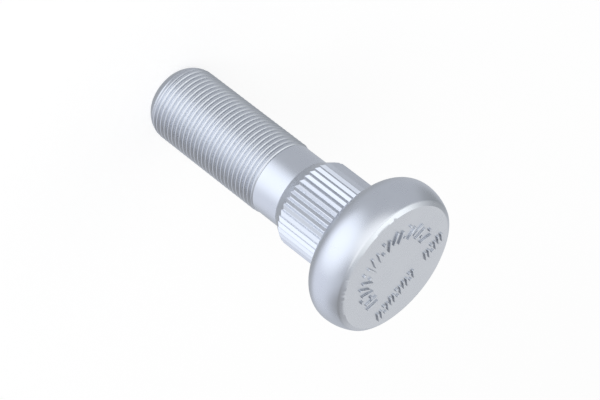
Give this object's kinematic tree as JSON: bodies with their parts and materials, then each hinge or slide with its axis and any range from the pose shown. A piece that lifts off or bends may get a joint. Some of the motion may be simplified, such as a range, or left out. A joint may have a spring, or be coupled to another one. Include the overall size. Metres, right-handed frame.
{
  "type": "wheel bolt",
  "caption": "Press-in wheel bolt with a rounded bun head, a straight-knurled neck, a plain shank and a fine-threaded end that holds a road wheel to its hub.",
  "frame": {"origin": "centre of the flat end face of the thread, which the bolt stands on", "axes": "+Z along the bolt's axis, from the thread end to the head"},
  "size_m": [0.0438, 0.0438, 0.0864],
  "materials": {
    "zinc_plated_steel": "satin silver zinc plating over forged and rolled steel"
  },
  "bodies": {
    "root": {"wheel_bolt": "zinc_plated_steel"}
  },
  "joints": []
}
